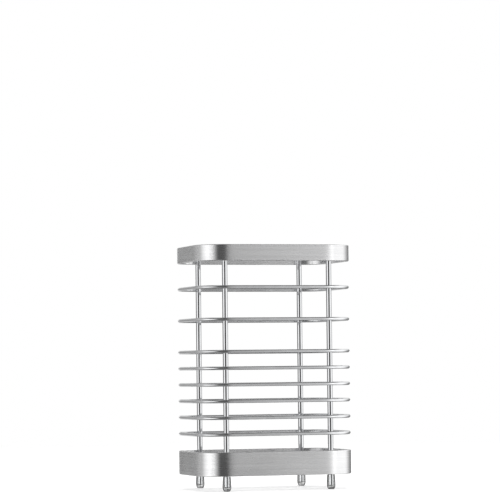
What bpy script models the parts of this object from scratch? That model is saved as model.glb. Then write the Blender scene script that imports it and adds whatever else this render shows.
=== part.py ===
"""Cutlery drainer: a free-standing wire holder for upright kitchen tools.

Two flat steel bands and eight wire hoops follow one rounded rectangle. They are welded round the
outside of four upright rods, whose lower ends wear clear plastic caps as feet. A floor of wires
on two cross bearers fills the bottom band.

Lengths are in metres. +X runs to the right along the long face, +Y to the back and +Z up. The
origin is on the table under the middle of the drainer, and the long face with Y below zero is the
front.
"""

import math

import bpy

OBJECT_NAME = "cutlery_drainer"

# Overall size, to the outer faces of the bands
HEIGHT = 0.160
WIDTH = 0.106
DEPTH = 0.070
CORNER_RADIUS = 0.016

# Flat bands
BAND_THICKNESS = 0.0023
TOP_BAND_HEIGHT = 0.0106
BOTTOM_BAND_HEIGHT = 0.0156
BAND_EDGE_RADIUS = 0.0003
GROUND_CLEARANCE = 0.0098

# Wire hoops: close together low down, where tool handles rest, and far apart above
HOOP_DIAMETER = 0.0022
FIRST_HOOP_RISE = 0.0113
CLOSE_PITCH = 0.01075
CLOSE_GAP_COUNT = 5
WIDE_GAP_COUNT = 2
TOP_HOOP_DROP = 0.0171

# Upright rods, two on each long face, just past the corner bends
UPRIGHT_DIAMETER = 0.0035
UPRIGHT_SETBACK = 0.0014
UPRIGHT_TOP_DROP = 0.0025
UPRIGHT_END_RADIUS = 0.0005

# Foot caps, pushed on the uprights' lower ends
FOOT_SOLE = 0.0022
FOOT_WALL = 0.00045
FOOT_FLARE = 0.00035
FOOT_ROUND_HEIGHT = 0.0029
FOOT_FLAT_DIAMETER = 0.0028
FOOT_RIM_RADIUS = 0.0002

# Wire floor inside the bottom band
FLOOR_WIRE_DIAMETER = 0.0022
FLOOR_BAY_COUNT = 8
BEARER_DIAMETER = 0.0025
BEARER_SPACING = 0.030
BEARER_RISE = 0.0006

# Gap left between two pieces that touch on the real drainer
SEAT_GAP = 0.0003

# Steps round curved shapes
CORNER_STEPS = 10
EASING_STEPS = 3
NOSE_STEPS = 7
UPRIGHT_SIDES = 16
FOOT_SIDES = 24
WIRE_BEVEL_RESOLUTION = 4
EDGE_SEGMENTS = 2
MERGE_DISTANCE = 0.00001
SMOOTH_ANGLE = math.radians(35)

# Finishes: colour, metallic, roughness, see-through
BRUSHED_STEEL = ((0.62, 0.62, 0.63, 1.0), 1.0, 0.34, 0.0)
POLISHED_STEEL = ((0.72, 0.73, 0.75, 1.0), 1.0, 0.12, 0.0)
CLEAR_PLASTIC = ((0.88, 0.90, 0.91, 1.0), 0.0, 0.08, 0.9)

# Places worked out from the sizes above
BAND_TOP = GROUND_CLEARANCE + BOTTOM_BAND_HEIGHT
TOP_BAND_BASE = HEIGHT - TOP_BAND_HEIGHT
HOOP_INSET = BAND_THICKNESS - HOOP_DIAMETER / 2
UPRIGHT_RADIUS = UPRIGHT_DIAMETER / 2
UPRIGHT_X = WIDTH / 2 - CORNER_RADIUS - UPRIGHT_SETBACK
UPRIGHT_BASE = FOOT_SOLE + SEAT_GAP
UPRIGHT_TOP = HEIGHT - UPRIGHT_TOP_DROP
BEARER_Z = GROUND_CLEARANCE + BEARER_RISE + BEARER_DIAMETER / 2
FLOOR_WIRE_Z = BEARER_Z + BEARER_DIAMETER / 2 + SEAT_GAP + FLOOR_WIRE_DIAMETER / 2


def clear_scene():
    """Remove whatever the open scene holds."""
    for old in list(bpy.data.objects):
        bpy.data.objects.remove(old, do_unlink=True)


def make_holder():
    """Add the drainer's collection, with an empty that carries its pieces."""
    collection = bpy.data.collections.new(OBJECT_NAME)
    bpy.context.scene.collection.children.link(collection)
    holder = bpy.data.objects.new(OBJECT_NAME, None)
    collection.objects.link(holder)


def make_material(name, finish):
    """Build one Principled material from a finish."""
    colour, metallic, roughness, transmission = finish
    material = bpy.data.materials.new(name)
    material.use_nodes = True
    shader = material.node_tree.nodes["Principled BSDF"]
    shader.inputs["Base Color"].default_value = colour
    shader.inputs["Metallic"].default_value = metallic
    shader.inputs["Roughness"].default_value = roughness
    shader.inputs["Transmission Weight"].default_value = transmission
    return material


def place_piece(name, data, finish, location):
    """Add a named piece to the drainer at its place."""
    data.materials.append(make_material(name + "_finish", finish))
    piece = bpy.data.objects.new(name, data)
    bpy.data.collections[OBJECT_NAME].objects.link(piece)
    piece.parent = bpy.data.objects[OBJECT_NAME]
    piece.location = location
    return piece


def rounded_outline(inset):
    """Points of the drainer's plan, anticlockwise from above, moved in from its outer face."""
    radius = CORNER_RADIUS - inset
    centre_x = WIDTH / 2 - CORNER_RADIUS
    centre_y = DEPTH / 2 - CORNER_RADIUS
    corners = ((1, 1), (-1, 1), (-1, -1), (1, -1))
    points = []
    for quarter, (side_x, side_y) in enumerate(corners):
        for step in range(CORNER_STEPS + 1):
            angle = math.pi / 2 * (quarter + step / CORNER_STEPS)
            x = side_x * centre_x + radius * math.cos(angle)
            y = side_y * centre_y + radius * math.sin(angle)
            points.append((x, y))
    return points


def reach(half_length, half_breadth, offset, inset):
    """How far the inset plan reaches along one axis, on a line moved sideways by offset."""
    radius = CORNER_RADIUS - inset
    overhang = max(0, offset - (half_breadth - CORNER_RADIUS))
    return half_length - CORNER_RADIUS + math.sqrt(radius ** 2 - overhang ** 2)


def upright_y():
    """Distance of each upright from the middle plane, seated inside the bands and hoops."""
    return reach(DEPTH / 2, WIDTH / 2, UPRIGHT_X, BAND_THICKNESS + SEAT_GAP + UPRIGHT_RADIUS)


def upper_round(centre_r, centre_z, radius, steps):
    """Points of a turned profile's upper rounded edge, from its top out to its side."""
    points = []
    for step in range(steps + 1):
        angle = math.pi / 2 * step / steps
        points.append((centre_r + radius * math.sin(angle), centre_z + radius * math.cos(angle)))
    return points


def lower_round(centre_r, centre_z, reach_out, reach_down, steps):
    """Points of a turned profile's lower rounded end, from its side in to its tip, along an ellipse."""
    points = []
    for step in range(steps + 1):
        angle = math.pi / 2 * step / steps
        r = centre_r + reach_out * math.cos(angle)
        z = centre_z - reach_down * math.sin(angle)
        points.append((r, z))
    return points


def turned_piece(name, profile, sides, finish, location):
    """Turn a profile of radius and height, listed down its outer side, about the Z axis."""
    mesh = bpy.data.meshes.new(name)
    edges = [(index, index + 1) for index in range(len(profile) - 1)]
    mesh.from_pydata([(r, 0, z) for r, z in profile], edges, [])
    piece = place_piece(name, mesh, finish, location)
    screw = piece.modifiers.new("Turn", "SCREW")
    screw.axis = "Z"
    screw.angle = 2 * math.pi
    screw.steps = sides
    screw.render_steps = sides
    screw.use_merge_vertices = True
    screw.merge_threshold = MERGE_DISTANCE
    screw.use_smooth_shade = True
    return piece


def add_band(name, base, height):
    """Flat bar bent to the plan: an open strip, thickened inwards, with eased edges."""
    outline = rounded_outline(0)
    count = len(outline)
    verts = [(x, y, 0) for x, y in outline] + [(x, y, height) for x, y in outline]
    faces = []
    for index in range(count):
        following = (index + 1) % count
        faces.append((index, following, following + count, index + count))
    mesh = bpy.data.meshes.new(name)
    mesh.from_pydata(verts, [], faces)
    mesh.shade_smooth()
    mesh.set_sharp_from_angle(angle=SMOOTH_ANGLE)
    band = place_piece(name, mesh, BRUSHED_STEEL, (0, 0, base))
    wall = band.modifiers.new("Wall", "SOLIDIFY")
    wall.thickness = BAND_THICKNESS
    wall.offset = -1
    wall.use_even_offset = True
    edge = band.modifiers.new("Eased edges", "BEVEL")
    edge.width = BAND_EDGE_RADIUS
    edge.segments = EDGE_SEGMENTS
    edge.limit_method = "ANGLE"
    edge.angle_limit = SMOOTH_ANGLE
    edge.harden_normals = True
    return band


def wire_curve(name, points, diameter, is_ring):
    """Round wire along straight steps between the points."""
    curve = bpy.data.curves.new(name, "CURVE")
    curve.dimensions = "3D"
    curve.bevel_depth = diameter / 2
    curve.bevel_resolution = WIRE_BEVEL_RESOLUTION
    curve.use_fill_caps = not is_ring
    spline = curve.splines.new("POLY")
    spline.points.add(len(points) - 1)
    for point, (x, y, z) in zip(spline.points, points):
        point.co = (x, y, z, 1)
    spline.use_cyclic_u = is_ring
    return curve


def hoop_heights():
    """Heights of the hoops' centres, from the lowest up: close gaps, then wide ones that share the rest."""
    lowest = BAND_TOP + FIRST_HOOP_RISE
    heights = [lowest + CLOSE_PITCH * gap for gap in range(CLOSE_GAP_COUNT + 1)]
    highest_close = heights[-1]
    wide_pitch = (TOP_BAND_BASE - TOP_HOOP_DROP - highest_close) / WIDE_GAP_COUNT
    heights += [highest_close + wide_pitch * gap for gap in range(1, WIDE_GAP_COUNT + 1)]
    return heights


def add_hoops():
    """Closed wire hoops round the outside of the uprights, level with the bands' inner faces."""
    path = [(x, y, 0) for x, y in rounded_outline(HOOP_INSET)]
    for number, height in enumerate(hoop_heights(), start=1):
        name = f"hoop_{number}"
        curve = wire_curve(name, path, HOOP_DIAMETER, True)
        place_piece(name, curve, POLISHED_STEEL, (0, 0, height))


def upright_profile():
    """Rod with eased ends, listed from its top centre down its outer side."""
    length = UPRIGHT_TOP - UPRIGHT_BASE
    easing = UPRIGHT_END_RADIUS
    rim = UPRIGHT_RADIUS - easing
    profile = [(0, length)]
    profile += upper_round(rim, length - easing, easing, EASING_STEPS)
    profile += lower_round(rim, easing, easing, easing, EASING_STEPS)
    profile.append((0, 0))
    return profile


def foot_profile():
    """Blind cap: bore, rim, outer side that swells downwards, round nose and flat tip."""
    bore = UPRIGHT_RADIUS + SEAT_GAP
    neck = bore + FOOT_WALL
    swell = neck + FOOT_FLARE
    top = GROUND_CLEARANCE - SEAT_GAP
    tip = FOOT_FLAT_DIAMETER / 2
    easing = FOOT_RIM_RADIUS
    profile = [(0, FOOT_SOLE), (bore, FOOT_SOLE), (bore, top)]
    profile += upper_round(neck - easing, top - easing, easing, EASING_STEPS)
    profile += lower_round(tip, FOOT_ROUND_HEIGHT, swell - tip, FOOT_ROUND_HEIGHT, NOSE_STEPS)
    profile.append((0, 0))
    return profile


def add_uprights_and_feet():
    """Four rods inside the hoops and bands, each with a cap on its lower end."""
    places = {
        "front_left": (-UPRIGHT_X, -upright_y()),
        "front_right": (UPRIGHT_X, -upright_y()),
        "back_left": (-UPRIGHT_X, upright_y()),
        "back_right": (UPRIGHT_X, upright_y()),
    }
    for corner, (x, y) in places.items():
        base = (x, y, UPRIGHT_BASE)
        turned_piece("upright_" + corner, upright_profile(), UPRIGHT_SIDES, POLISHED_STEEL, base)
        turned_piece("foot_cap_" + corner, foot_profile(), FOOT_SIDES, CLEAR_PLASTIC, (x, y, 0))


def floor_wire_places():
    """Sideways place and half length of each floor wire, from left to right."""
    radius = FLOOR_WIRE_DIAMETER / 2
    inset = BAND_THICKNESS + SEAT_GAP
    half_bays = FLOOR_BAY_COUNT // 2
    places = []
    for bay in range(1 - half_bays, half_bays):
        x = UPRIGHT_X * bay / half_bays
        places.append((x, reach(DEPTH / 2, WIDTH / 2, abs(x) + radius, inset)))
    outer_x = (UPRIGHT_X + WIDTH / 2 - BAND_THICKNESS) / 2
    for side in (-1, 1):
        places.append((side * UPRIGHT_X, upright_y() - UPRIGHT_RADIUS - SEAT_GAP))
        places.append((side * outer_x, reach(DEPTH / 2, WIDTH / 2, outer_x + radius, inset)))
    return sorted(places)


def add_floor():
    """Wires from front to back on two bearers from side to side, inside the bottom band."""
    for number, (x, half_length) in enumerate(floor_wire_places(), start=1):
        name = f"floor_wire_{number}"
        ends = [(0, -half_length, 0), (0, half_length, 0)]
        curve = wire_curve(name, ends, FLOOR_WIRE_DIAMETER, False)
        place_piece(name, curve, POLISHED_STEEL, (x, 0, FLOOR_WIRE_Z))
    offset = BEARER_SPACING / 2
    edge = offset + BEARER_DIAMETER / 2
    half_length = reach(WIDTH / 2, DEPTH / 2, edge, BAND_THICKNESS + SEAT_GAP)
    for name, side in (("floor_bearer_front", -1), ("floor_bearer_back", 1)):
        ends = [(-half_length, 0, 0), (half_length, 0, 0)]
        curve = wire_curve(name, ends, BEARER_DIAMETER, False)
        place_piece(name, curve, POLISHED_STEEL, (0, side * offset, BEARER_Z))


def main():
    """Build the whole drainer, standing on the table."""
    clear_scene()
    make_holder()
    add_band("top_band", TOP_BAND_BASE, TOP_BAND_HEIGHT)
    add_band("bottom_band", GROUND_CLEARANCE, BOTTOM_BAND_HEIGHT)
    add_hoops()
    add_uprights_and_feet()
    add_floor()


main()
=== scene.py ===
"""Looks of a free-standing wire cutlery drainer.

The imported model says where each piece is. Here every piece gets its finest shape and its finish: two
flat brushed bands, eight polished wire hoops welded round four polished rods, clear plastic caps on
the rods' lower ends, and a floor of wires inside the bottom band. Lengths are in metres, +Z is up, +X
runs to the right along the long face, and the long face with Y below zero is the front.
"""

import logging
import math
from dataclasses import dataclass, field
from enum import Enum

import bmesh
import bpy
from mathutils import Matrix, Vector


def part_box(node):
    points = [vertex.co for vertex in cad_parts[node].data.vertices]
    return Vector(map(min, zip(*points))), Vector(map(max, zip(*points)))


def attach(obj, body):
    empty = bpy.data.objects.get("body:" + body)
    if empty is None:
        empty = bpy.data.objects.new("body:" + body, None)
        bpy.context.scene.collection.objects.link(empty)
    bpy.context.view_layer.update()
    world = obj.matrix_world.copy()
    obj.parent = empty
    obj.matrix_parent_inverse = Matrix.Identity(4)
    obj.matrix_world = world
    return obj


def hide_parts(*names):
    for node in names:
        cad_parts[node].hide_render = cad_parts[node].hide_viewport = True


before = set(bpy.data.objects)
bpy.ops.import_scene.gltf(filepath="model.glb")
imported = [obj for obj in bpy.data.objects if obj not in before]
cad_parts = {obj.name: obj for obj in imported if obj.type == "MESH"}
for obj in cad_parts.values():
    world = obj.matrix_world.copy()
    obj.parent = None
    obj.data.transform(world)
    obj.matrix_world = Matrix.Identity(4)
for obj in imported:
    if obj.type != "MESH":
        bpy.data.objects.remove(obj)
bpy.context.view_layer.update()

Socket = bpy.types.NodeSocket
Material = bpy.types.Material

LOG = logging.getLogger("drainer")
BODY = "root"
IMAGE_SIDE = 500
MERGE_DISTANCE = 1e-6
FLAT_ANGLE = math.radians(35)
QUARTER_TURN = math.pi / 2
HALF_TURN_DEGREES = 180.0
IN_DEGREES = HALF_TURN_DEGREES / math.pi
UP = (0.0, 0.0, 1.0)
ROD_EASING = 0.0005
BAND_THICKNESS = 0.0023
BANDS = ("bottom_band", "top_band")
CORNERS = ("front_left", "front_right", "back_left", "back_right")

NUMBER = "NodeSocketFloat"
WHOLE = "NodeSocketInt"
VECTOR = "NodeSocketVector"

RISE = (0.0, 1.0)
FALL = (1.0, 0.0)
# The part of a noise pattern's range that a finish is stretched over.
MIDDLE = (0.3, 0.7)


class Slot(Enum):
    """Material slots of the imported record."""

    BAND = "brushed_band"
    WIRE = "polished_wire"
    CAP = "clear_cap"


class Detail(Enum):
    """Octaves of a noise pattern."""

    COARSE = 1.0
    MEDIUM = 2.0
    FINE = 3.0


class Grain(Enum):
    """Direction in which the drawing or brushing lines of a piece run."""

    LEVEL = "level"
    UPRIGHT = "upright"
    ACROSS = "across"
    FRONT_TO_BACK = "front_to_back"

    def scales(self, along: float, over: float) -> tuple[float, float, float]:
        """Noise scales of the three axes.

        Args:
            along: Scale along the lines.
            over: Scale square to the lines.

        Returns:
            The scales of X, Y and Z.
        """
        return {
            Grain.LEVEL: (along, along, over),
            Grain.UPRIGHT: (over, over, along),
            Grain.ACROSS: (along, over, over),
            Grain.FRONT_TO_BACK: (over, along, over),
        }[self]


class Graph:
    """Adds nodes to one node tree and feeds their sockets."""

    def __init__(self, tree: bpy.types.NodeTree) -> None:
        """Take the tree to add to."""
        self.tree = tree

    def feed(self, node: bpy.types.Node, feeds: dict) -> None:
        """Link each value that is a socket to its input, and set every other one there.

        Args:
            node: The node to feed.
            feeds: Values or sockets for its inputs, by input name or number.
        """
        for name, value in feeds.items():
            if isinstance(value, Socket):
                self.tree.links.new(value, node.inputs[name])
            else:
                node.inputs[name].default_value = value

    def add(self, kind: str, feeds: dict | None = None, **options: object) -> bpy.types.Node:
        """Add one node.

        Args:
            kind: The node's type name.
            feeds: Values or sockets for its inputs, by input name or number.
            options: The node's own options.

        Returns:
            The new node.
        """
        node = self.tree.nodes.new(kind)
        for name, value in options.items():
            setattr(node, name, value)
        self.feed(node, feeds or {})
        return node

    def math(self, operation: str, *values: object) -> Socket:
        """Add a Math node for an operation on numbers or sockets, and give its result."""
        return self.add("ShaderNodeMath", dict(enumerate(values)), operation=operation).outputs[0]

    def vector(self, operation: str, *values: object) -> Socket:
        """Add a Vector Math node for an operation on vectors or sockets, and give its result."""
        return self.add("ShaderNodeVectorMath", dict(enumerate(values)), operation=operation).outputs[0]

    def scaled(self, vector: object, factor: object) -> Socket:
        """Multiply a vector by a number."""
        return self.add("ShaderNodeVectorMath", {0: vector, "Scale": factor}, operation="SCALE").outputs[0]

    def spread(self, value: object, source: tuple, target: tuple) -> Socket:
        """Map a value smoothly from one range to another.

        Args:
            value: The value to map.
            source: Its range.
            target: The range to reach.

        Returns:
            The mapped value.
        """
        names = ("Value", "From Min", "From Max", "To Min", "To Max")
        feeds = dict(zip(names, (value, *source, *target)))
        return self.add("ShaderNodeMapRange", feeds, interpolation_type="SMOOTHSTEP").outputs["Result"]

    def blend(self, share: object, first: object, second: object) -> Socket:
        """Mix two colours, with the given share of the second."""
        return self.add("ShaderNodeMix", {0: share, 6: first, 7: second}, data_type="RGBA").outputs[2]

    def mix(self, share: object, first: object, second: object) -> Socket:
        """Mix two numbers, with the given share of the second."""
        feeds = {"Factor": share, "A": first, "B": second}
        return self.add("ShaderNodeMix", feeds, data_type="FLOAT").outputs[0]

    def join(self, share: float, first: object, second: object) -> Socket:
        """Add two patterns, with the given share of the first and the rest from the second."""
        rest = self.math("MULTIPLY", second, 1 - share)
        return self.math("ADD", self.math("MULTIPLY", first, share), rest)

    def place(self) -> Socket:
        """Give Object coordinates, which stay with a piece's mesh."""
        return self.add("ShaderNodeTexCoord").outputs["Object"]

    def height(self) -> Socket:
        """Give the height in Object coordinates."""
        return self.add("ShaderNodeSeparateXYZ", {"Vector": self.place()}).outputs["Z"]

    def noise(self, scales: tuple, detail: Detail, roughness: float = 0.5) -> Socket:
        """Add a noise pattern on Object coordinates.

        Args:
            scales: The pattern's scales along X, Y and Z, per metre.
            detail: Octaves of the noise.
            roughness: Share of each finer octave.

        Returns:
            The pattern, about 0.5 in the mean.
        """
        moved = self.add("ShaderNodeMapping", {"Vector": self.place(), "Scale": scales}).outputs["Vector"]
        feeds = {"Vector": moved, "Scale": 1.0, "Detail": detail.value, "Roughness": roughness}
        return self.add("ShaderNodeTexNoise", feeds).outputs["Fac"]

    def bump(self, pattern: object, strength: float, height: float) -> Socket:
        """Give the normal of a surface raised by a pattern up to a height."""
        feeds = {"Height": pattern, "Strength": strength, "Distance": height}
        return self.add("ShaderNodeBump", feeds).outputs["Normal"]

    def mirrored(self) -> Socket:
        """Tell whether metal or plastic has reflected a ray, also where it then crosses plastic.

        Returns:
            1 for such a ray and 0 for any other.
        """
        path = self.add("ShaderNodeLightPath").outputs
        bounced = self.math("GREATER_THAN", path["Glossy Depth"], 0.5)
        return self.math("MAXIMUM", path["Is Glossy Ray"], bounced)

    def seen(self) -> Socket:
        """Tell whether a ray sees a surface directly or straight through clear plastic.

        Returns:
            1 for such a ray and 0 for a reflected one.
        """
        path = self.add("ShaderNodeLightPath").outputs
        straight = self.math("SUBTRACT", 1.0, self.mirrored())
        through = self.math("MULTIPLY", path["Is Transmission Ray"], straight)
        return self.math("MAXIMUM", path["Is Camera Ray"], through)


def grey(colour: tuple, factor: float = 1.0) -> tuple:
    """Colour with alpha, made lighter or darker by a factor."""
    return (*(channel * factor for channel in colour), 1.0)


@dataclass(frozen=True)
class Finish:
    """What all finishes share: colour and roughness that vary a little, and a fine relief."""

    colour: tuple
    shade_spread: float
    least_roughness: float
    most_roughness: float
    bump_strength: float

    def material(self, name: str, *place: object) -> Material:
        """Make the finish.

        Args:
            name: The material's name.
            place: What the finish follows on its piece, such as a direction or its edges.

        Returns:
            The finished material.
        """
        material = bpy.data.materials.new(name)
        material.use_nodes = True
        graph = Graph(material.node_tree)
        graph.feed(material.node_tree.nodes["Principled BSDF"], self.feeds(graph, *place))
        return material

    def tint(self, graph: Graph, pattern: Socket) -> Socket:
        """Make the colour darker and lighter with a pattern."""
        dark, light = (grey(self.colour, 1 + side * self.shade_spread) for side in (-1, 1))
        return graph.blend(graph.spread(pattern, MIDDLE, RISE), dark, light)

    def roughness(self, graph: Graph, pattern: Socket) -> Socket:
        """Vary the roughness over its range with a pattern."""
        return graph.spread(pattern, MIDDLE, (self.least_roughness, self.most_roughness))


@dataclass(frozen=True)
class BrushedSteel(Finish):
    """Flat steel with fine brushing along the bar and edges worn a little brighter."""

    colour: tuple = (0.75, 0.75, 0.755)
    shade_spread: float = 0.055
    least_roughness: float = 0.19
    most_roughness: float = 0.32
    bump_strength: float = 0.35
    anisotropy: float = 0.95
    anisotropy_turn: float = 0.25
    tangent_offset: tuple = (0.01, 0.02, 0.0)
    line_rate: float = 5200.0
    line_fineness: float = 0.6
    line_height: float = 0.000006
    streak_rate: float = 950.0
    run_rate: float = 30.0
    cloud_rate: float = 55.0
    tone_line_share: float = 0.35
    rough_line_share: float = 0.7
    edge_share: float = 0.16

    def feeds(self, graph: Graph, low: float, high: float) -> dict:
        """Give the shader's inputs for a band between two heights.

        Args:
            graph: The material's graph.
            low: Height of the band's lower edge.
            high: Height of its upper edge.

        Returns:
            Values or sockets by input name.
        """
        line_scales = Grain.LEVEL.scales(self.run_rate, self.line_rate)
        lines = graph.noise(line_scales, Detail.FINE, self.line_fineness)
        streaks = graph.noise(Grain.LEVEL.scales(self.run_rate / 2, self.streak_rate), Detail.MEDIUM)
        clouds = graph.noise((self.cloud_rate,) * 3, Detail.COARSE)
        worn = self.worn_edges(graph, low, high)
        tone = graph.join(self.tone_line_share, lines, streaks)
        tone = graph.math("ADD", tone, graph.math("MULTIPLY", worn, self.shade_spread * 2))
        rough = self.roughness(graph, graph.join(self.rough_line_share, lines, clouds))
        smooth = graph.math("MULTIPLY", worn, self.edge_share * self.most_roughness)
        return {
            "Base Color": self.tint(graph, tone),
            "Roughness": graph.math("SUBTRACT", rough, smooth),
            "Normal": graph.bump(lines, self.bump_strength, self.line_height),
            "Tangent": self.brushing_tangent(graph),
            "Metallic": 1.0,
            "Anisotropic": self.anisotropy,
            "Anisotropic Rotation": self.anisotropy_turn,
        }

    def worn_edges(self, graph: Graph, low: float, high: float) -> Socket:
        """Mark the last part of the height near each edge.

        Args:
            graph: The material's graph.
            low: Height of the lower edge.
            high: Height of the upper edge.

        Returns:
            1 at the edges and 0 away from them.
        """
        offset = graph.math("ABSOLUTE", graph.math("SUBTRACT", graph.height(), (low + high) / 2))
        half = (high - low) / 2
        return graph.spread(offset, (half * (1 - self.edge_share), half), RISE)

    def brushing_tangent(self, graph: Graph) -> Socket:
        """Give the direction along the bar on upright faces, which never vanishes on level ones."""
        normal = graph.add("ShaderNodeNewGeometry").outputs["True Normal"]
        return graph.vector("ADD", graph.vector("CROSS_PRODUCT", UP, normal), self.tangent_offset)


@dataclass(frozen=True)
class PolishedWire(Finish):
    """Bright drawn wire with faint die lines along it and a slight haze."""

    colour: tuple = (0.71, 0.715, 0.725)
    shade_spread: float = 0.04
    least_roughness: float = 0.03
    most_roughness: float = 0.09
    bump_strength: float = 0.25
    line_rate: float = 7000.0
    line_height: float = 0.000003
    run_rate: float = 35.0
    haze_rate: float = 160.0
    rough_line_share: float = 0.5

    def feeds(self, graph: Graph, grain: Grain) -> dict:
        """Give the shader's inputs for a wire whose lines run one way.

        Args:
            graph: The material's graph.
            grain: Direction of the die lines.

        Returns:
            Values or sockets by input name.
        """
        lines = graph.noise(grain.scales(self.run_rate, self.line_rate), Detail.MEDIUM)
        haze = graph.noise((self.haze_rate,) * 3, Detail.FINE)
        return {
            "Base Color": self.tint(graph, haze),
            "Roughness": self.roughness(graph, graph.join(self.rough_line_share, lines, haze)),
            "Normal": graph.bump(lines, self.bump_strength, self.line_height),
            "Metallic": 1.0,
        }


@dataclass(frozen=True)
class WeldMetal(Finish):
    """Small beads of once molten wire, duller and a little rough."""

    colour: tuple = (0.6, 0.59, 0.575)
    shade_spread: float = 0.12
    least_roughness: float = 0.22
    most_roughness: float = 0.42
    bump_strength: float = 0.5
    grain_rate: float = 2600.0
    grain_height: float = 0.00003

    def feeds(self, graph: Graph) -> dict:
        """Give the shader's inputs."""
        grains = graph.noise((self.grain_rate,) * 3, Detail.FINE)
        return {
            "Base Color": self.tint(graph, grains),
            "Roughness": self.roughness(graph, grains),
            "Normal": graph.bump(grains, self.bump_strength, self.grain_height),
            "Metallic": 1.0,
        }


@dataclass(frozen=True)
class ClearPlastic(Finish):
    """Soft clear plastic with slow moulding waves, with painted shade darkening its outline where it is
    seen edge-on and darkening its rougher nose.
    """

    colour: tuple = (0.95, 0.955, 0.955)
    shade_spread: float = 0.02
    least_roughness: float = 0.02
    most_roughness: float = 0.07
    bump_strength: float = 0.3
    refraction: float = 1.5
    wave_rate: float = 700.0
    wave_height: float = 0.00004
    cloud_rate: float = 420.0
    # Painted shade: colour and bounds of the dark outline where the plastic is seen edge-on.
    rim_shade_colour: tuple = (0.07, 0.07, 0.073)
    rim_shade_blend: float = 0.5
    rim_shade_slants: tuple = (0.15, 0.42)
    # Painted shade: colour and height of the dark nose, which is also made rougher.
    nose_shade_colour: tuple = (0.14, 0.14, 0.143)
    shaded_nose_height: float = 0.0024
    nose_roughness: float = 0.2

    def feeds(self, graph: Graph) -> dict:
        """Give the shader's inputs.

        Args:
            graph: The material's graph.

        Returns:
            Values or sockets by input name.
        """
        clouds = graph.noise((self.cloud_rate,) * 3, Detail.MEDIUM)
        waves = graph.noise((self.wave_rate,) * 3, Detail.COARSE)
        # Painted shade: the colour darkens towards the outline, where the cap is seen edge-on.
        slant = graph.add("ShaderNodeLayerWeight", {"Blend": self.rim_shade_blend}).outputs["Facing"]
        rim = graph.spread(slant, self.rim_shade_slants, RISE)
        tint = graph.blend(rim, self.tint(graph, clouds), grey(self.rim_shade_colour))
        # Painted shade: the colour darkens below a height at the nose, where the roughness also rises.
        shaded_rough_nose = graph.spread(graph.height(), (0.0, self.shaded_nose_height), FALL)
        rougher = graph.math("MULTIPLY", shaded_rough_nose, self.nose_roughness)
        return {
            "Base Color": graph.blend(shaded_rough_nose, tint, grey(self.nose_shade_colour)),
            "Roughness": graph.math("ADD", self.roughness(graph, clouds), rougher),
            "Normal": graph.bump(waves, self.bump_strength, self.wave_height),
            "Transmission Weight": 1.0,
            "IOR": self.refraction,
        }


class ShapeTree:
    """A Geometry Nodes tree with named inputs, which makes one mesh for each set of values."""

    def __init__(self, name: str, inputs: dict[str, str]) -> None:
        """Start the tree.

        Args:
            name: The tree's name.
            inputs: Socket type of each named input.
        """
        self.group = bpy.data.node_groups.new(name, "GeometryNodeTree")
        face = self.group.interface
        face.new_socket(name="Geometry", in_out="INPUT", socket_type="NodeSocketGeometry")
        face.new_socket(name="Geometry", in_out="OUTPUT", socket_type="NodeSocketGeometry")
        self.keys = {}
        for label, kind in {**inputs, "Finish": "NodeSocketMaterial"}.items():
            self.keys[label] = face.new_socket(name=label, in_out="INPUT", socket_type=kind).identifier
        self.graph = Graph(self.group)
        self.given = self.graph.add("NodeGroupInput").outputs

    def close(self, shape: Socket) -> None:
        """End the tree in smooth, real faces with the given finish.

        Args:
            shape: The geometry to end with.
        """
        real = self.graph.add("GeometryNodeRealizeInstances", {"Geometry": shape}).outputs[0]
        smooth = self.graph.add("GeometryNodeSetShadeSmooth", {"Geometry": real}).outputs[0]
        feeds = {"Geometry": smooth, "Material": self.given["Finish"]}
        dressed = self.graph.add("GeometryNodeSetMaterial", feeds).outputs[0]
        self.graph.add("NodeGroupOutput", {"Geometry": dressed})

    def make(self, name: str, values: dict, base: bpy.types.Mesh | None = None) -> bpy.types.Object:
        """Run the tree once and keep the result as a plain mesh.

        Args:
            name: The new piece's name.
            values: A value for each named input.
            base: Mesh that enters the tree, if it uses one.

        Returns:
            The piece, at the origin, with no modifier left.
        """
        carrier = bpy.data.objects.new(name + "_run", base or bpy.data.meshes.new(name + "_run"))
        bpy.context.scene.collection.objects.link(carrier)
        run = carrier.modifiers.new("Shape", "NODES")
        run.node_group = self.group
        for label, value in values.items():
            run[self.keys[label]] = value
        found = carrier.evaluated_get(bpy.context.evaluated_depsgraph_get())
        mesh = bpy.data.meshes.new_from_object(found)
        mesh.name = name
        bpy.data.objects.remove(carrier)
        piece = bpy.data.objects.new(name, mesh)
        bpy.context.scene.collection.objects.link(piece)
        return piece


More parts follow.
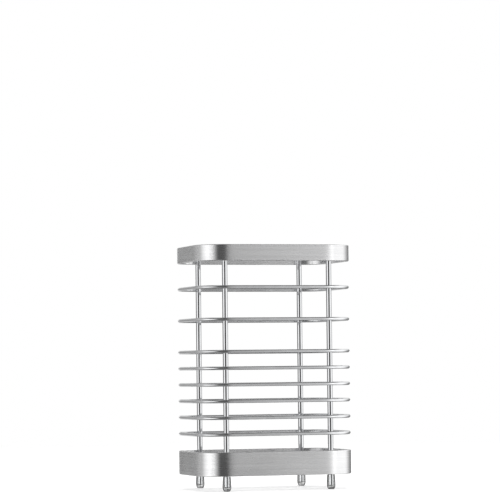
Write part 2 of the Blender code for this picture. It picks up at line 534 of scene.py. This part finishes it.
class PlanTree(ShapeTree):
    """Tree on the drainer's plan, a rounded rectangle."""

    CORNER_POINTS = 64
    SIZES = {
        "Length": NUMBER,
        "Breadth": NUMBER,
        "Corner radius": NUMBER,
        "Height": NUMBER,
        "Step": NUMBER,
        "Bend easing": WHOLE,
    }

    def plan(self) -> Socket:
        """Draw the rounded rectangle in even steps, with bends that begin softly as in bent bar.

        Returns:
            The closed curve at height zero.
        """
        graph, given = self.graph, self.given
        feeds = {"Width": given["Length"], "Height": given["Breadth"]}
        square = graph.add("GeometryNodeCurvePrimitiveQuadrilateral", feeds, mode="RECTANGLE").outputs[0]
        feeds = {"Curve": square, "Radius": given["Corner radius"], "Count": self.CORNER_POINTS}
        rounded = graph.add("GeometryNodeFilletCurve", feeds, mode="POLY").outputs[0]
        feeds = {"Curve": rounded, "Length": given["Step"]}
        even = graph.add("GeometryNodeResampleCurve", feeds, mode="LENGTH").outputs[0]
        place = graph.add("GeometryNodeInputPosition").outputs[0]
        feeds = {"Value": place, "Iterations": given["Bend easing"]}
        eased = graph.add("GeometryNodeBlurAttribute", feeds, data_type="FLOAT_VECTOR").outputs[0]
        feeds = {"Geometry": even, "Position": eased}
        return graph.add("GeometryNodeSetPosition", feeds).outputs[0]

    def upward(self, height: Socket) -> Socket:
        """Give the vector straight up to a height."""
        return self.graph.add("ShaderNodeCombineXYZ", {"Z": height}).outputs[0]

    def lifted(self, shape: Socket, height: Socket) -> Socket:
        """Move a shape up to a height."""
        feeds = {"Geometry": shape, "Translation": self.upward(height)}
        return self.graph.add("GeometryNodeTransform", feeds).outputs[0]


class HoopTree(PlanTree):
    """Closed round wire along the plan, at one height."""

    def __init__(self) -> None:
        """Build the tree."""
        super().__init__("Wire hoop", {**self.SIZES, "Wire radius": NUMBER, "Wire sides": WHOLE})
        feeds = {"Resolution": self.given["Wire sides"], "Radius": self.given["Wire radius"]}
        section = self.graph.add("GeometryNodeCurvePrimitiveCircle", feeds, mode="RADIUS").outputs[0]
        feeds = {"Curve": self.plan(), "Profile Curve": section}
        wire = self.graph.add("GeometryNodeCurveToMesh", feeds).outputs[0]
        self.close(self.lifted(wire, self.given["Height"]))


class StripTree(PlanTree):
    """Open upright strip along the plan, from one height up."""

    def __init__(self) -> None:
        """Build the tree."""
        super().__init__("Band strip", {**self.SIZES, "Base": NUMBER})
        line = self.graph.add("GeometryNodeCurveToMesh", {"Curve": self.plan()}).outputs[0]
        feeds = {"Mesh": line, "Offset": self.upward(self.given["Height"])}
        strip = self.graph.add("GeometryNodeExtrudeMesh", feeds, mode="EDGES").outputs["Mesh"]
        self.close(self.lifted(strip, self.given["Base"]))


class RodTree(ShapeTree):
    """Straight round rod with eased ends, between two points."""

    def __init__(self) -> None:
        """Build the tree."""
        sizes = {"Start": VECTOR, "End": VECTOR, "Radius": NUMBER, "Easing": NUMBER}
        super().__init__("Eased rod", {**sizes, "Easing steps": WHOLE, "Sides": WHOLE})
        graph, given = self.graph, self.given
        steps = given["Easing steps"]
        # Each end has a ring at its face, one for each easing step and one more on the straight part.
        count = graph.math("MULTIPLY", graph.math("ADD", steps, 2.0), 2.0)
        index = graph.add("GeometryNodeInputIndex").outputs[0]
        behind = graph.math("SUBTRACT", graph.math("SUBTRACT", count, 1.0), index)
        near = graph.math("MINIMUM", index, behind)
        turned = graph.math("DIVIDE", graph.math("MINIMUM", near, steps), steps)
        angle = graph.math("MULTIPLY", turned, QUARTER_TURN)
        past = graph.math("GREATER_THAN", near, steps)
        depth = graph.math("SUBTRACT", graph.math("ADD", past, 1.0), graph.math("COSINE", angle))
        depth = graph.math("MULTIPLY", depth, given["Easing"])
        second = graph.math("GREATER_THAN", index, behind)
        line = graph.add("GeometryNodeMeshLine", {"Count": count}, mode="OFFSET").outputs[0]
        feeds = {"Geometry": line, "Position": self.point(depth, second)}
        moved = graph.add("GeometryNodeSetPosition", feeds).outputs[0]
        curve = graph.add("GeometryNodeMeshToCurve", {"Mesh": moved}).outputs[0]
        inset = graph.math("SUBTRACT", 1.0, graph.math("SINE", angle))
        inset = graph.math("MULTIPLY", inset, given["Easing"])
        radius = graph.math("SUBTRACT", given["Radius"], inset)
        feeds = {"Resolution": given["Sides"], "Radius": 1.0}
        section = graph.add("GeometryNodeCurvePrimitiveCircle", feeds, mode="RADIUS").outputs[0]
        feeds = {"Curve": curve, "Profile Curve": section, "Scale": radius, "Fill Caps": True}
        self.close(graph.add("GeometryNodeCurveToMesh", feeds).outputs[0])

    def point(self, depth: Socket, second: Socket) -> Socket:
        """Find the point at a depth from one end.

        Args:
            depth: Distance from the end.
            second: 0 for the start and 1 for the end.

        Returns:
            The point's place.
        """
        graph, given = self.graph, self.given
        span = graph.vector("SUBTRACT", given["End"], given["Start"])
        length = graph.add("ShaderNodeVectorMath", {0: span}, operation="LENGTH").outputs["Value"]
        away = graph.math("ABSOLUTE", graph.math("SUBTRACT", second, graph.math("DIVIDE", depth, length)))
        return graph.vector("ADD", given["Start"], graph.scaled(span, away))


class BeadTree(ShapeTree):
    """Weld beads on the points of a mesh, each of its own size and slightly uneven."""

    SIZE = "bead_size"
    VALUES = {"Segments": 14, "Unevenness": 0.25, "Lump rate": 900.0, "Seed": 7}

    def __init__(self) -> None:
        """Build the tree."""
        inputs = {"Segments": WHOLE, "Unevenness": NUMBER, "Lump rate": NUMBER, "Seed": WHOLE}
        super().__init__("Weld beads", inputs)
        graph, given = self.graph, self.given
        half = graph.math("DIVIDE", given["Segments"], 2.0)
        feeds = {"Segments": given["Segments"], "Rings": half, "Radius": 1.0}
        ball = graph.add("GeometryNodeMeshUVSphere", feeds).outputs["Mesh"]
        size = graph.add("GeometryNodeInputNamedAttribute", {"Name": self.SIZE}, data_type="FLOAT_VECTOR")
        least = graph.math("SUBTRACT", 1.0, given["Unevenness"])
        feeds = {2: least, 3: 1.0, "Seed": given["Seed"]}
        factor = graph.add("FunctionNodeRandomValue", feeds, data_type="FLOAT").outputs[1]
        scale = graph.scaled(size.outputs[0], factor)
        feeds = {"Points": given["Geometry"], "Instance": ball, "Scale": scale}
        self.close(self.lumpy(graph.add("GeometryNodeInstanceOnPoints", feeds).outputs[0]))

    def lumpy(self, beads: Socket) -> Socket:
        """Push the beads' faces in and out a little.

        Args:
            beads: The placed beads.

        Returns:
            The uneven beads.
        """
        graph, given = self.graph, self.given
        real = graph.add("GeometryNodeRealizeInstances", {"Geometry": beads}).outputs[0]
        feeds = {"Scale": given["Lump rate"], "Detail": Detail.COARSE.value}
        lumps = graph.add("ShaderNodeTexNoise", feeds).outputs["Fac"]
        depth = graph.math("MULTIPLY", graph.math("SUBTRACT", lumps, 0.5), given["Unevenness"])
        normal = graph.add("GeometryNodeInputNormal").outputs[0]
        offset = graph.scaled(normal, graph.math("DIVIDE", depth, given["Lump rate"]))
        return graph.add("GeometryNodeSetPosition", {"Geometry": real, "Offset": offset}).outputs[0]


def settle(piece: bpy.types.Object, slot: Slot, *nodes: str) -> None:
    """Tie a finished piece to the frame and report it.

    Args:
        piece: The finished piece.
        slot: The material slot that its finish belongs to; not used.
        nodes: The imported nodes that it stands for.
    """
    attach(piece, BODY)
    if nodes:
        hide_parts(*nodes)
    LOG.info("%s: %d faces", piece.name, len(piece.data.polygons))


@dataclass(frozen=True)
class Plan:
    """Rounded rectangle that bands and hoops follow."""

    corner_radius: float = 0.0153
    step: float = 0.001
    bend_easing: int = 18

    def values(self, low: Vector, high: Vector, wire: float = 0.0, inset: float = 0.0) -> dict:
        """Give a plan tree's values for one piece.

        Args:
            low: Lowest corner of the piece.
            high: Its highest corner.
            wire: Thickness of a wire, which the plan runs along the middle of.
            inset: Distance of the piece's outer face inside the bands'.

        Returns:
            Values by input name.
        """
        return {
            "Length": high.x - low.x - wire,
            "Breadth": high.y - low.y - wire,
            "Corner radius": self.corner_radius - inset - wire / 2,
            "Step": self.step,
            "Bend easing": self.bend_easing,
        }


@dataclass
class Band:
    """One flat bar on edge, bent to the plan, with eased edges."""

    node: str
    plan: Plan = Plan()
    edge_radius: float = 0.0005
    edge_steps: int = 5
    finish: BrushedSteel = BrushedSteel()

    def build(self, strips: StripTree) -> None:
        """Make the bar from a strip along its outer face.

        Args:
            strips: The tree that makes the strip.
        """
        low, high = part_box(self.node)
        values = {
            **self.plan.values(low, high),
            "Height": high.z - low.z,
            "Base": low.z,
            "Finish": self.finish.material(self.node + "_brushed", low.z, high.z),
        }
        band = strips.make(self.node + "_bar", values)
        self.face_outwards(band.data)
        wall = band.modifiers.new("Wall", "SOLIDIFY")
        wall.thickness = BAND_THICKNESS
        wall.offset = -1
        wall.use_even_offset = True
        edge = band.modifiers.new("Eased edges", "BEVEL")
        edge.width = self.edge_radius
        edge.segments = self.edge_steps
        edge.limit_method = "ANGLE"
        edge.angle_limit = FLAT_ANGLE
        edge.harden_normals = True
        settle(band, Slot.BAND, self.node)

    @staticmethod
    def face_outwards(mesh: bpy.types.Mesh) -> None:
        """Turn the strip's faces away from its middle.

        Args:
            mesh: The open strip.
        """
        shape = bmesh.new()
        shape.from_mesh(mesh)
        bmesh.ops.remove_doubles(shape, verts=shape.verts, dist=MERGE_DISTANCE)
        turned = [face for face in shape.faces if face.normal.dot(face.calc_center_median()) < 0]
        bmesh.ops.reverse_faces(shape, faces=turned)
        shape.to_mesh(mesh)
        shape.free()


@dataclass
class Welds:
    """Weld beads of one part of the drainer, which become one piece."""

    part: str
    finish: WeldMetal = WeldMetal()
    places: list = field(default_factory=list)
    sizes: list = field(default_factory=list)

    def add(self, place: tuple, size: tuple) -> None:
        """Note a bead's centre and its half sizes."""
        self.places.append(tuple(place))
        self.sizes.append(tuple(size))

    def build(self, beads: BeadTree) -> None:
        """Make the piece.

        Args:
            beads: The tree for weld beads.
        """
        name = self.part + "_welds"
        base = bpy.data.meshes.new(name + "_places")
        base.from_pydata(self.places, [], [])
        attribute = base.attributes.new(BeadTree.SIZE, "FLOAT_VECTOR", "POINT")
        attribute.data.foreach_set("vector", [length for size in self.sizes for length in size])
        values = {**BeadTree.VALUES, "Finish": self.finish.material(self.part + "_weld_metal")}
        settle(beads.make(name, values, base), Slot.WIRE)


@dataclass
class HoopCage:
    """Eight wire hoops welded round the outside of four uprights."""

    hoop_count: int = 8
    plan: Plan = Plan()
    wire_sides: int = 24
    rod_sides: int = 40
    easing_steps: int = 6
    hoop_bead: tuple = (0.0011, 0.00045, 0.0008)
    band_bead: tuple = (0.0012, 0.0004, 0.0019)
    band_bead_share: float = 0.28
    wire_finish: PolishedWire = PolishedWire()
    # The uprights' copy of the wire finish is darker than the hoops': painted shade for their darker
    # reflections.
    shaded_rod_finish: PolishedWire = PolishedWire(colour=(0.65, 0.655, 0.665))

    def build(self, hoops: HoopTree, rods: RodTree, beads: BeadTree) -> None:
        """Make the hoops, the uprights and the welds between them.

        Args:
            hoops: The tree for the hoops.
            rods: The tree for the uprights.
            beads: The tree for the welds.
        """
        level = self.wire_finish.material("hoop_wire_polish", Grain.LEVEL)
        for number in range(1, self.hoop_count + 1):
            self.build_hoop(f"hoop_{number}", hoops, level)
        upright = self.shaded_rod_finish.material("upright_rod_shaded_polish", Grain.UPRIGHT)
        for corner in CORNERS:
            self.build_upright("upright_" + corner, rods, upright)
        self.build_welds(beads)

    def build_hoop(self, node: str, hoops: HoopTree, finish: Material) -> None:
        """Make one hoop along the plan of its own solid.

        Args:
            node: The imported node.
            hoops: The tree for the hoops.
            finish: The hoop's material.
        """
        low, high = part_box(node)
        wire = high.z - low.z
        values = {
            **self.plan.values(low, high, wire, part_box(BANDS[0])[1].x - high.x),
            "Height": (low.z + high.z) / 2,
            "Wire radius": wire / 2,
            "Wire sides": self.wire_sides,
            "Finish": finish,
        }
        settle(hoops.make(node + "_wire", values), Slot.WIRE, node)

    def build_upright(self, node: str, rods: RodTree, finish: Material) -> None:
        """Make one upright rod.

        Args:
            node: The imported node.
            rods: The tree for straight rods.
            finish: The rod's material.
        """
        low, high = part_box(node)
        centre = (low + high) / 2
        values = {
            "Start": (centre.x, centre.y, low.z),
            "End": (centre.x, centre.y, high.z),
            "Radius": (high.x - low.x) / 2,
            "Easing": ROD_EASING,
            "Easing steps": self.easing_steps,
            "Sides": self.rod_sides,
            "Finish": finish,
        }
        settle(rods.make(node + "_rod", values), Slot.WIRE, node)

    def build_welds(self, beads: BeadTree) -> None:
        """Put a bead at each seat of a hoop or a band on an upright.

        Args:
            beads: The tree for weld beads.
        """
        welds = Welds("cage")
        for corner in CORNERS:
            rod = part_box("upright_" + corner)
            for number in range(1, self.hoop_count + 1):
                low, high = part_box(f"hoop_{number}")
                seam = self.seam(rod, low, high, high.z - low.z)
                welds.add((*seam, (low.z + high.z) / 2), self.hoop_bead)
            for node in BANDS:
                low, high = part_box(node)
                seam = self.seam(rod, low, high, BAND_THICKNESS)
                middle = (low.z + min(high.z, rod[1].z)) / 2
                for side in (-1, 1):
                    offset = side * self.band_bead_share * (high.z - low.z)
                    welds.add((*seam, middle + offset), self.band_bead)
        welds.build(beads)

    @staticmethod
    def seam(rod: tuple, low: Vector, high: Vector, thickness: float) -> tuple[float, float]:
        """Find where an upright meets the hoop or band round it.

        Args:
            rod: Lowest and highest corner of the upright.
            low: Lowest corner of the hoop or band.
            high: Its highest corner.
            thickness: Its thickness.

        Returns:
            X and Y of the seam's middle.
        """
        centre = (rod[0] + rod[1]) / 2
        face, outer = (rod[1].y, high.y) if centre.y > 0 else (rod[0].y, low.y)
        inner = outer - math.copysign(thickness, centre.y)
        return centre.x, (face + inner) / 2


@dataclass
class FootCap:
    """Clear cap pushed on an upright's lower end, swelling down to a round nose."""

    corner: str
    snug: float = 0.00004
    neck_share: float = 0.877
    nose_height: float = 0.0029
    tip_radius: float = 0.0014
    rim_radius: float = 0.0002
    sides: int = 64
    nose_steps: int = 18
    rim_steps: int = 5
    finish: ClearPlastic = ClearPlastic()

    def profile(self, outer: float, top: float, rod: float, sole: float) -> list[tuple[float, float]]:
        """List the cap's section from the middle of its bore out and down to its tip.

        Args:
            outer: Radius at the swell.
            top: Height of the rim.
            rod: Radius of the upright.
            sole: Height of the bore's bottom.

        Returns:
            Radius and height of each point.
        """
        bore = rod + self.snug
        neck = outer * self.neck_share
        shoulder = top - self.rim_radius
        points = [(0, sole)]
        points += self.quarter(bore - ROD_EASING, sole + ROD_EASING, ROD_EASING, -1)
        points += self.quarter(bore + self.rim_radius, shoulder, -self.rim_radius, 1)
        points += reversed(self.quarter(neck - self.rim_radius, shoulder, self.rim_radius, 1))
        for step in range(1, self.nose_steps + 1):
            rise = 1 - step / self.nose_steps
            swell = neck + (outer - neck) * math.sin((1 - rise) * QUARTER_TURN)
            points.append((swell, self.nose_height + (shoulder - self.nose_height) * rise))
        for step in range(1, self.nose_steps + 1):
            angle = QUARTER_TURN * step / self.nose_steps
            radius = self.tip_radius + (outer - self.tip_radius) * math.cos(angle)
            points.append((radius, self.nose_height * (1 - math.sin(angle))))
        points.append((0, 0))
        return points

    def quarter(self, centre: float, height: float, reach: float, side: int) -> list[tuple[float, float]]:
        """List the points of a quarter round from the bottom up.

        Args:
            centre: Radius of the quarter's centre.
            height: Height of its centre.
            reach: Its radius, below zero where it turns towards the axis.
            side: 1 for a quarter above its centre and -1 for one below.

        Returns:
            Radius and height of each point.
        """
        points = []
        for step in range(self.rim_steps + 1):
            angle = QUARTER_TURN * step / self.rim_steps
            points.append((centre + reach * math.sin(angle), height + side * abs(reach) * math.cos(angle)))
        return points if side < 0 else points[::-1]

    def build(self) -> None:
        """Turn the section about the upright's axis."""
        node = "foot_cap_" + self.corner
        low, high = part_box(node)
        rod_low, rod_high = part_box("upright_" + self.corner)
        centre = (rod_low + rod_high) / 2
        rod = (rod_high.x - rod_low.x) / 2
        section = self.profile((high.x - low.x) / 2, high.z, rod, rod_low.z - self.snug)
        shape = bmesh.new()
        verts = [shape.verts.new((radius, 0, height)) for radius, height in section]
        edges = [shape.edges.new(pair) for pair in zip(verts, verts[1:])]
        turn = {"axis": UP, "cent": (0, 0, 0), "angle": 2 * math.pi, "steps": self.sides}
        bmesh.ops.spin(shape, geom=verts + edges, use_merge=True, **turn)
        bmesh.ops.remove_doubles(shape, verts=shape.verts, dist=MERGE_DISTANCE)
        bmesh.ops.recalc_face_normals(shape, faces=shape.faces)
        bmesh.ops.translate(shape, verts=shape.verts, vec=(centre.x, centre.y, 0))
        mesh = bpy.data.meshes.new(node + "_plastic")
        shape.to_mesh(mesh)
        shape.free()
        mesh.shade_smooth()
        mesh.set_sharp_from_angle(angle=FLAT_ANGLE)
        mesh.materials.append(self.finish.material(node + "_clear"))
        cap = bpy.data.objects.new(node + "_plastic", mesh)
        bpy.context.scene.collection.objects.link(cap)
        settle(cap, Slot.CAP, node)


@dataclass
class WireFloor:
    """Wires from front to back on two bearers from side to side."""

    wire_count: int = 11
    bearers: tuple = ("floor_bearer_front", "floor_bearer_back")
    easing: float = 0.0002
    easing_steps: int = 4
    sides: int = 24
    seat_gap: float = 0.0003
    cross_bead: tuple = (0.0008, 0.0009, 0.0004)
    end_bead_share: float = 0.85
    end_bead_depth: float = 0.00045
    finish: PolishedWire = PolishedWire()

    def build(self, rods: RodTree, beads: BeadTree) -> None:
        """Make the wires, the bearers and their welds.

        Args:
            rods: The tree for straight rods.
            beads: The tree for weld beads.
        """
        welds = Welds("floor")
        backwards, sideways = Vector((0, 1, 0)), Vector((1, 0, 0))
        along = self.finish.material("floor_wire_polish", Grain.FRONT_TO_BACK)
        for number in range(1, self.wire_count + 1):
            node = f"floor_wire_{number}"
            self.build_wire(node, backwards, rods, along, welds)
            low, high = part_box(node)
            for bearer in self.bearers:
                bearer_low, bearer_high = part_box(bearer)
                y = (bearer_low.y + bearer_high.y) / 2
                welds.add(((low.x + high.x) / 2, y, (low.z + bearer_high.z) / 2), self.cross_bead)
        across = self.finish.material("floor_bearer_polish", Grain.ACROSS)
        for bearer in self.bearers:
            self.build_wire(bearer, sideways, rods, across, welds)
        welds.build(beads)

    def build_wire(self, node: str, run: Vector, rods: RodTree, finish: Material, welds: Welds) -> None:
        """Make one straight wire and note the welds at its ends.

        Args:
            node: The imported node.
            run: Unit vector along the wire.
            rods: The tree for straight rods.
            finish: The wire's material.
            welds: The floor's welds.
        """
        low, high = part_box(node)
        middle = (low + high) / 2
        half = run * ((high - low).dot(run) / 2)
        radius = (high.z - low.z) / 2
        values = {
            "Start": middle - half,
            "End": middle + half,
            "Radius": radius,
            "Easing": self.easing,
            "Easing steps": self.easing_steps,
            "Sides": self.sides,
            "Finish": finish,
        }
        settle(rods.make(node + "_rod", values), Slot.WIRE, node)
        broad = Vector((1, 1, 1)) * radius * self.end_bead_share
        size = broad + run * (self.end_bead_depth - broad.x)
        for side in (-1, 1):
            welds.add(middle + side * (half + run * self.seat_gap / 2), size)


@dataclass(frozen=True)
class Panel:
    """Soft panel of the studio, bounded by azimuth and by height over the horizon, in degrees.

    Each bound lists where the panel begins, is full, starts to fade and ends.
    A level below zero is a dark card, which takes light away from the panels behind it.
    """

    level: float
    azimuths: tuple = (-1, 0, 360, 361)
    heights: tuple = (-91, -90, 90, 91)

    def light(self, graph: Graph, azimuth: object, height: object) -> Socket:
        """Give the panel's light in a direction.

        Args:
            graph: The dome's graph.
            azimuth: The direction's azimuth.
            height: The direction's height over the horizon.

        Returns:
            The panel's light.
        """
        middle = (self.azimuths[0] + self.azimuths[3]) / 2
        offset = graph.math("SUBTRACT", azimuth, middle)
        offset = graph.math("WRAP", offset, HALF_TURN_DEGREES, -HALF_TURN_DEGREES)
        across = self.window(graph, offset, [bound - middle for bound in self.azimuths])
        share = graph.math("MULTIPLY", across, self.window(graph, height, self.heights))
        return graph.math("MULTIPLY", share, self.level)

    @staticmethod
    def window(graph: Graph, value: object, bounds: list | tuple) -> Socket:
        """Rise from 0 to 1 and fall again over four bounds.

        Args:
            graph: The dome's graph.
            value: The value to test.
            bounds: Where it begins, is full, fades and ends.

        Returns:
            The share between 0 and 1.
        """
        rise = graph.spread(value, tuple(bounds[:2]), RISE)
        fall = graph.spread(value, tuple(bounds[2:]), FALL)
        return graph.math("MULTIPLY", rise, fall)


@dataclass
class Studio:
    """Pale floor, soft lamp, ring of panels and the camera at the photo's angle."""

    floor_radius: float = 1.1
    floor_sides: int = 96
    floor_shades: tuple = (0.77, 0.79)
    speckle_rate: float = 900.0
    floor_lift: float = 0.45
    lamp_height: float = 1.2
    lamp_side: float = 0.9
    lamp_power: float = 9.0
    room: float = 0.08
    panels: tuple = (
        Panel(0.65, heights=(70, 84, 91, 92)),
        Panel(0.15, heights=(-92, -91, -84, -74)),
        Panel(0.42, azimuths=(166, 174, 183, 190), heights=(-45, -25, 30, 60)),
        Panel(0.14, azimuths=(-45, -20, 10, 20), heights=(16, 40, 75, 88)),
        Panel(0.27, azimuths=(-45, -20, 10, 20), heights=(-88, -75, -40, -16)),
        Panel(0.20, azimuths=(95, 130, 240, 300), heights=(-60, -20, 91, 92)),
        Panel(0.34, azimuths=(-190, -118, -100, -70)),
        Panel(1.48, azimuths=(-114, -64, -46, -8), heights=(-48, -15, 12, 34)),
        Panel(0.62, azimuths=(11, 17, 24, 34), heights=(-10, 4, 20, 46)),
        Panel(1.24, azimuths=(17, 27, 40, 56), heights=(-75, -45, 28, 56)),
        Panel(1.24, azimuths=(40, 56, 74, 130), heights=(-75, -45, 44, 68)),
        Panel(0.66, azimuths=(90, 115, 150, 175), heights=(6, 18, 42, 58)),
        Panel(0.24, azimuths=(-225, -205, -120, -105), heights=(-12, -7, 7, 12)),
        Panel(-1.05, azimuths=(-58, -46, -16, -8), heights=(-3.3, -2.7, 2.7, 3.3)),
        Panel(-0.7, azimuths=(-225, -210, -120, -105), heights=(-3.3, -2.7, 2.7, 3.3)),
    )

    camera_azimuth: float = 17.6342
    camera_distance: float = 1.80317
    camera_height: float = 0.07664
    clip_distances: tuple = (0.1, 100)
    focal_pixels: float = 2721.32
    pitch: float = 2.5806
    yaw: float = -0.2615
    roll: float = -0.6288

    def build(self) -> None:
        """Make the floor, the lamp, the dome and the camera."""
        self.build_floor()
        self.build_lamp()
        self.build_dome()
        self.build_camera()

    def build_floor(self) -> None:
        """Lay a round pale floor, white to the camera, that takes the drainer's soft shadow."""
        size = {"vertices": self.floor_sides, "radius": self.floor_radius}
        bpy.ops.mesh.primitive_circle_add(fill_type="NGON", **size)
        floor = bpy.context.object
        floor.name = "pale_floor"
        material = bpy.data.materials.new("pale_floor_paint")
        material.use_nodes = True
        material.node_tree.nodes.clear()
        graph = Graph(material.node_tree)
        speckle = graph.noise((self.speckle_rate,) * 3, Detail.MEDIUM)
        shade = graph.spread(speckle, MIDDLE, self.floor_shades)
        paint = graph.add("ShaderNodeBsdfDiffuse", {"Color": shade}).outputs[0]
        lift = graph.math("MULTIPLY", graph.seen(), self.floor_lift)
        glow = graph.add("ShaderNodeEmission", {"Strength": lift}).outputs[0]
        whole = graph.add("ShaderNodeAddShader", {0: paint, 1: glow}).outputs[0]
        graph.add("ShaderNodeOutputMaterial", {"Surface": whole})
        floor.data.materials.append(material)
        floor.visible_glossy = False
        floor.visible_transmission = False

    def build_lamp(self) -> None:
        """Hang a broad soft lamp over the drainer."""
        light = bpy.data.lights.new("overhead_softbox", "AREA")
        light.shape = "SQUARE"
        light.size = self.lamp_side
        light.energy = self.lamp_power
        lamp = bpy.data.objects.new("overhead_softbox", light)
        lamp.location = (0, 0, self.lamp_height)
        lamp.visible_glossy = False
        bpy.context.scene.collection.objects.link(lamp)

    def build_dome(self) -> None:
        """Light the scene from a ring of soft panels, and show the camera plain white."""
        world = bpy.data.worlds.new("studio_dome")
        bpy.context.scene.world = world
        world.use_nodes = True
        world.node_tree.nodes.clear()
        graph = Graph(world.node_tree)
        view = graph.add("ShaderNodeTexCoord").outputs["Generated"]
        x, y, z = graph.add("ShaderNodeSeparateXYZ", {0: view}).outputs
        azimuth = graph.math("ARCTAN2", x, graph.math("MULTIPLY", y, -1.0))
        azimuth = graph.math("MULTIPLY", azimuth, IN_DEGREES)
        height = graph.math("MULTIPLY", graph.math("ARCSINE", z), IN_DEGREES)
        studio = self.room
        for panel in self.panels:
            studio = graph.math("ADD", studio, panel.light(graph, azimuth, height))
        studio = graph.math("MAXIMUM", studio, self.room)
        strength = graph.mix(graph.seen(), studio, 1.0)
        feeds = {"Color": grey((1.0,) * 3), "Strength": strength}
        sky = graph.add("ShaderNodeBackground", feeds).outputs[0]
        graph.add("ShaderNodeOutputWorld", {"Surface": sky})

    def build_camera(self) -> None:
        """Set the camera where the photo was taken."""
        angles = (self.camera_azimuth, self.pitch, self.yaw, self.roll)
        azimuth, pitch, yaw, roll = map(math.radians, angles)
        reach = self.camera_distance
        place = (-reach * math.sin(azimuth), -reach * math.cos(azimuth), self.camera_height)
        turns = ((-azimuth - yaw, "Z"), (QUARTER_TURN + pitch, "X"), (roll, "Z"))
        view = Matrix.Translation(place)
        for angle, axis in turns:
            view = view @ Matrix.Rotation(angle, 4, axis)
        data = bpy.data.cameras.new("photo_camera")
        data.lens = data.sensor_width * self.focal_pixels / IMAGE_SIDE
        data.clip_start, data.clip_end = self.clip_distances
        camera = bpy.data.objects.new("photo_camera", data)
        camera.matrix_world = view
        bpy.context.scene.collection.objects.link(camera)
        bpy.context.scene.camera = camera


def main() -> None:
    """Build the drainer's looks and the studio round it."""
    logging.basicConfig(level=logging.INFO, format="%(name)s %(message)s")
    bpy.context.scene.view_settings.view_transform = "Standard"
    strips, hoops, rods, beads = StripTree(), HoopTree(), RodTree(), BeadTree()
    for node in BANDS:
        Band(node).build(strips)
    HoopCage().build(hoops, rods, beads)
    for corner in CORNERS:
        FootCap(corner).build()
    WireFloor().build(rods, beads)
    Studio().build()


if __name__ == "__main__":
    main()
